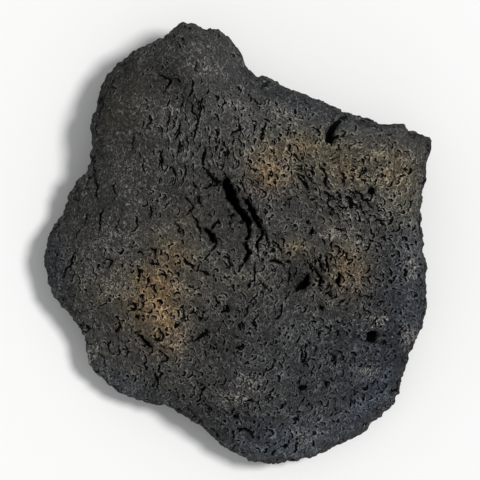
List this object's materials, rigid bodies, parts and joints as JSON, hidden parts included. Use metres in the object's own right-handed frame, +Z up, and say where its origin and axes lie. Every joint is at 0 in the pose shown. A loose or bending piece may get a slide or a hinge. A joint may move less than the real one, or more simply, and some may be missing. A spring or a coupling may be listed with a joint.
{
  "type": "lava rock",
  "caption": "Flat hand specimen of dark vesicular lava crust with a wrinkled top, an open fissure, gas holes and rust-stained patches, resting on its worn underside.",
  "frame": {"origin": "middle of the rock's bounding box, on the ground it lies on", "axes": "+Z up, away from the ground; +Y along the rock's length towards the end with the round knob; +X across it towards the side with the square corner"},
  "size_m": [0.1308, 0.1496, 0.0442],
  "materials": {
    "lava": "rough matt basalt crust, dark grey with rust and olive stained patches and a few pale mineral flecks"
  },
  "bodies": {
    "root": {"lava_rock": "lava"}
  },
  "joints": []
}
